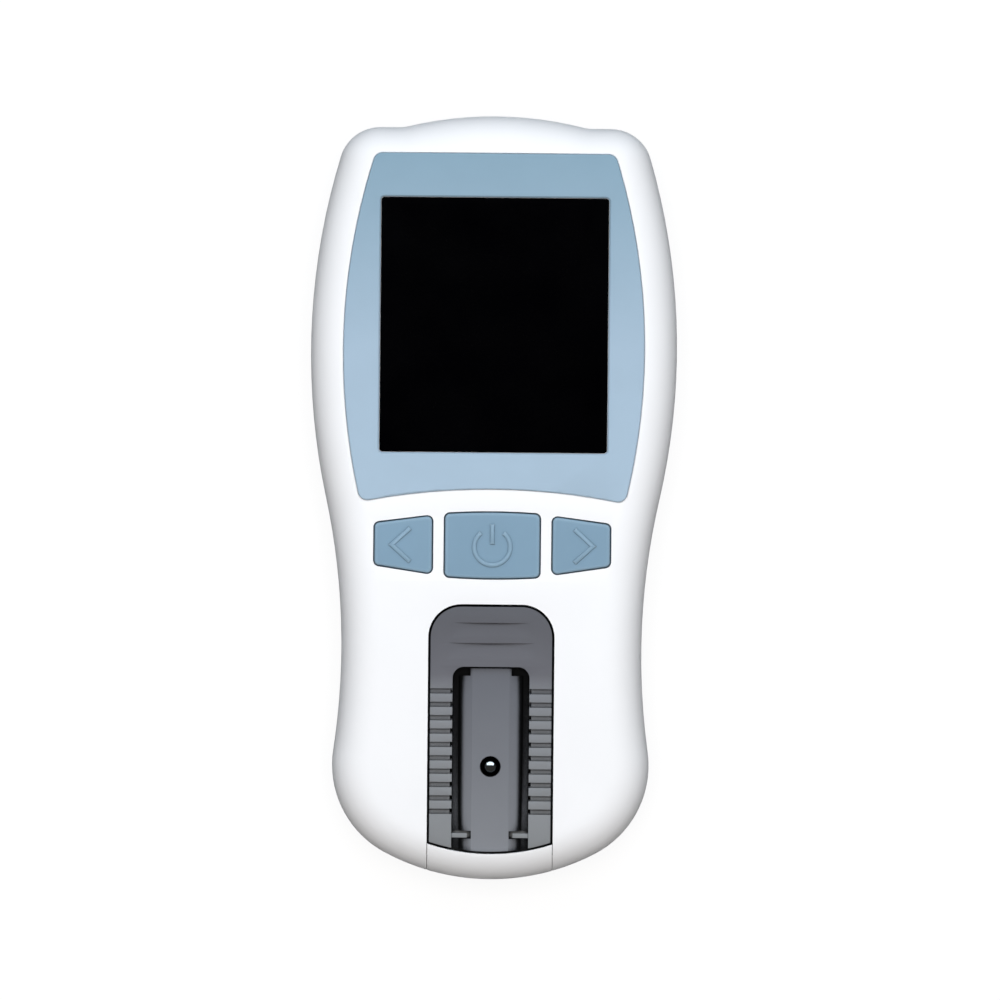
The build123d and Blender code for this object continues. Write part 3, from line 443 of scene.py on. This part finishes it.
def flex_finish():
    """Amber flat flex with copper lines along it."""
    line_spacing_mm = 0.25
    line_edge_mm = (0.1, 0.14)
    finish = Finish("flex_amber_film")
    across = finish.maths("PINGPONG", finish.axis("X"), line_spacing_mm * MM)
    stripes = finish.between(across, 0.0, 1.0, *(edge * MM for edge in line_edge_mm))
    finish.colour(finish.mix(stripes, linear(176, 104, 30), linear(214, 140, 62)))
    finish.gloss(finish.noise(size_mm=3), 0.22, 0.36)
    return finish


def cell_finish():
    """A dry cell's dark film jacket, a little wavy and unevenly glossy."""
    finish = Finish("cell_jacket_film")
    clouds = finish.noise(size_mm=6, detail=3.0)
    finish.colour(finish.cloudy(clouds, linear(34, 52, 74), linear(42, 62, 86)))
    finish.gloss(finish.noise(size_mm=1.5, detail=3.0, stretch=(1, 0.2, 1)), 0.2, 0.36)
    finish.bump(finish.noise(size_mm=2.5), depth_mm=0.02)
    return finish


board_green = board_finish()
flex_amber = flex_finish()
cell_jacket = cell_finish()


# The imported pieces

def joined(mesh):
    """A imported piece's loose triangles, joined into one shape."""
    shape = bmesh.new()
    shape.from_mesh(mesh)
    bmesh.ops.remove_doubles(shape, verts=shape.verts, dist=MERGE_MM * MM)
    bmesh.ops.dissolve_degenerate(shape, edges=shape.edges, dist=SHORTEST_EDGE_MM * MM)
    return shape


def soften_edges(shape, radius_mm, crease, above_mm, steps):
    """Rounds the outer edges that turn by more than the crease, above a height."""
    bmesh.ops.dissolve_limit(
        shape, angle_limit=math.radians(FLAT_FOLD_DEGREES),
        verts=shape.verts, edges=shape.edges, delimit={"NORMAL"},
    )
    limit = math.radians(crease)
    sharp = []
    for edge in shape.edges:
        if edge.is_manifold and edge.is_convex and edge.calc_face_angle() > limit:
            middle = (edge.verts[0].co + edge.verts[1].co) / (2 * MM)
            if middle.z > above_mm:
                sharp.append(edge)
    bmesh.ops.bevel(
        shape, geom=sharp, offset=radius_mm * MM, offset_type="OFFSET", affect="EDGES",
        segments=steps, profile=0.5, material=-1, clamp_overlap=True,
    )


def finished(node, finish, crease=30, soften_mm=0.0, above_mm=0.0, steps=3):
    """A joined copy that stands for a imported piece, smooth between its creases."""
    source = nodes[node]
    mesh = source.data.copy()
    mesh.name = "finished_" + node
    shape = joined(mesh)
    if soften_mm:
        soften_edges(shape, soften_mm, crease, above_mm, steps)
    bmesh.ops.triangulate(shape, faces=[face for face in shape.faces if len(face.verts) > 4])
    shape.to_mesh(mesh)
    shape.free()
    packed_normals = mesh.attributes.get("custom_normal")
    if packed_normals:
        mesh.attributes.remove(packed_normals)
    for face in mesh.polygons:
        face.use_smooth = True
        face.material_index = 0
    mesh.set_sharp_from_angle(angle=math.radians(crease))
    mesh.materials.clear()
    mesh.materials.append(finish.material)
    piece = bpy.data.objects.new("finished_" + node, mesh)
    collection.objects.link(piece)
    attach(piece, source["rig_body"])
    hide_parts(node)


def paint(node, finish):
    """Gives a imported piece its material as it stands."""
    mesh = nodes[node].data
    mesh.materials.clear()
    mesh.materials.append(finish.material)


finished("top_shell", case_white, soften_mm=0.25, above_mm=CASE_FACE_MM)
finished("bottom_shell", case_white)
finished("tray_front", case_white, soften_mm=0.12, above_mm=TRAY_RAILS_MM)
finished("battery_cover", case_white)
finished("display_panel", panel_blue)
for name in ("key_left", "key_power", "key_right"):
    finished(name, key_blue, crease=50)
finished("display_window", window_black)
finished(
    "strip_tray", tray_grey, crease=25, soften_mm=0.08, above_mm=TRAY_RAILS_MM, steps=2
)
finished("strip_bed", bed_grey, crease=12)
finished("tray_guide", guide_black)
finished("reader_barrel", guide_black)
finished("reader_lens", lens_glass)
finished("code_chip", chip_grey)
finished("battery_springs", nickel, crease=60)
finished("key_domes", dome_steel)
finished("buzzer", socket_black)
for name in ("battery_left", "battery_middle", "battery_right"):
    finished(name, cell_jacket)
for name in ("case_screws", "board_screws", "guide_screws"):
    finished(name, steel)
finished("rubber_feet", rubber_grey)
finished("reader_ribbon", flex_amber)

paint("display_gasket", foam_black)
paint("display_glass", display_glass)
paint("display_backlight", backlight_white)
paint("main_board", board_green)
paint("main_processor", package_black)
paint("memory_chip", package_black)
paint("clock_crystal", crystal_can)
paint("usb_socket", nickel)
paint("chip_socket", socket_black)
paint("battery_contacts", nickel)
paint("reader_board", board_green)
paint("reader_lamps", lamp_clear)
paint("rear_label", label_silver)


# Floor, room, lights and camera

def floor_finish(name, tone, glow):
    """Pale and matt: the camera and reflections see it near white, with the meter's shadow kept."""
    material = bpy.data.materials.new(name)
    material.use_nodes = True
    work = Nodes(material.node_tree)
    work.tree.nodes.clear()
    matt = work.add("ShaderNodeBsdfDiffuse", Color=(tone, tone, tone, 1))
    seen = work.seen_directly(work.add("ShaderNodeLightPath"))
    light = work.add("ShaderNodeEmission", Color=WHITE, Strength=work.maths("MULTIPLY", seen, glow))
    both = work.combine("ShaderNodeAddShader", matt.outputs[0], light.outputs[0])
    work.add("ShaderNodeOutputMaterial", Surface=both)
    return material


def lay_floor():
    """A flat floor under the meter's feet."""
    shape = bmesh.new()
    bmesh.ops.create_grid(shape, x_segments=1, y_segments=1, size=FLOOR_REACH)
    mesh = bpy.data.meshes.new("floor")
    shape.to_mesh(mesh)
    shape.free()
    mesh.materials.append(floor_finish("floor_white", FLOOR_TONE, FLOOR_GLOW))
    floor = bpy.data.objects.new("floor", mesh)
    collection.objects.link(floor)


def build_room():
    """A dim cool room that the camera sees white. Reflections see pale walls and a dark ceiling."""
    world = bpy.data.worlds.new("studio")
    bpy.context.scene.world = world
    world.use_nodes = True
    work = Nodes(world.node_tree)
    work.tree.nodes.clear()
    path = work.add("ShaderNodeLightPath")
    sky = work.add("ShaderNodeTexCoord").outputs["Generated"]
    height = work.add("ShaderNodeSeparateXYZ", Vector=sky).outputs["Z"]
    ceiling = work.between(height, WALL_SEEN, CEILING_SEEN, WALL_TOP, CEILING_START)
    backdrop = work.maths("MAXIMUM", ceiling, path.outputs["Is Camera Ray"])
    seen_room = work.add("ShaderNodeBackground", Color=backdrop, Strength=1.0)
    dim_room = work.add("ShaderNodeBackground", Color=ROOM_TINT, Strength=ROOM_LIGHT)
    seen = work.seen_directly(path)
    both = work.combine("ShaderNodeMixShader", seen, dim_room.outputs[0], seen_room.outputs[0])
    work.add("ShaderNodeOutputWorld", Surface=both)


def softbox(name, place, side, watts, tint):
    """A square soft light that looks at the meter."""
    light = bpy.data.lights.new(name, "AREA")
    light.shape = "SQUARE"
    light.size = side
    light.energy = watts
    light.color = tint
    lamp = bpy.data.objects.new(name, light)
    lamp.location = place
    turn = (-lamp.location).to_track_quat("-Z", "Y")
    lamp.rotation_euler = turn.to_euler()
    collection.objects.link(lamp)
    return lamp


def set_camera():
    """A camera straight above the meter, with the photograph's scale, turn and framing."""
    pixel = MM / PIXELS_PER_MM
    turn = math.radians(TURN_DEGREES)
    across, up = SIDEWAYS_PIXELS * pixel, UPWARD_PIXELS * pixel
    lens = bpy.data.cameras.new("camera")
    lens.sensor_width = SENSOR_MM
    lens.lens = SENSOR_MM * CAMERA_DISTANCE / (PICTURE_PIXELS * pixel)
    lens.clip_end = FARTHEST_SEEN
    camera = bpy.data.objects.new("camera", lens)
    camera.location = (
        across * math.cos(turn) - up * math.sin(turn),
        across * math.sin(turn) + up * math.cos(turn),
        CAMERA_DISTANCE + SCALE_HEIGHT_MM * MM,
    )
    camera.rotation_euler = (0, 0, turn)
    collection.objects.link(camera)
    bpy.context.scene.camera = camera


lay_floor()
build_room()
softbox(
    "key_light", place=(0.0, 0.5, 0.75), side=0.95, watts=4.4, tint=(0.83, 0.96, 1.1)
)
overhead = softbox(
    "top_light", place=(0.0, 0.0, 1.5), side=0.6, watts=14.4, tint=(1.06, 1.0, 0.96)
)
overhead.visible_glossy = False
set_camera()

bpy.context.scene.view_settings.view_transform = "Standard"
